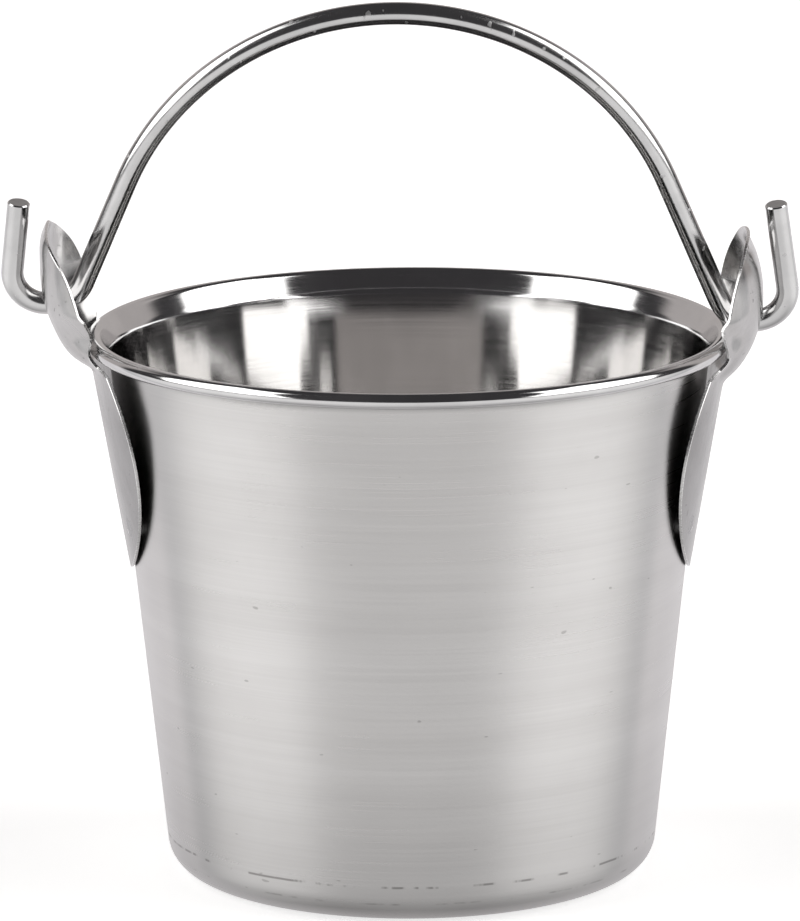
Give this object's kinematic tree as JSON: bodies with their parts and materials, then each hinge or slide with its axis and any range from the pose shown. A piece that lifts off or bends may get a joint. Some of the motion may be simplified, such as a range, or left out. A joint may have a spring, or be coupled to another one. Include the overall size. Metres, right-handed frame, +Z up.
{
  "type": "milk pail",
  "caption": "Small stainless steel milk pail with a tapered seamless body, rolled rim, pressed side ears and a swinging wire bail handle with upturned hook ends.",
  "frame": {"origin": "centre of the base, on the surface the pail stands on", "axes": "+Z up along the pail's axis, +X from the left ear to the right ear, -Y towards the front"},
  "size_m": [0.1924, 0.156, 0.2154],
  "materials": {
    "shell_steel": "satin outside, brushed bright inside",
    "ear_steel": "bright pressed sheet",
    "weld_steel": "dull spot weld",
    "bail_steel": "polished wire"
  },
  "bodies": {
    "pail": {"pail_shell": "shell_steel", "left_ear": "ear_steel", "right_ear": "ear_steel", "left_ear_lower_weld": "weld_steel", "left_ear_left_hand_weld": "weld_steel", "left_ear_right_hand_weld": "weld_steel", "right_ear_lower_weld": "weld_steel", "right_ear_left_hand_weld": "weld_steel", "right_ear_right_hand_weld": "weld_steel"},
    "bail": {"bail": "bail_steel"}
  },
  "joints": [
    {"name": "bail_swing", "type": "hinge", "parent": "pail", "child": "bail", "pos_m": [-0.0956, 0, 0.1406], "axis": [0.9996, 0, -0.0278], "range_deg": [-101, 77]}
  ]
}
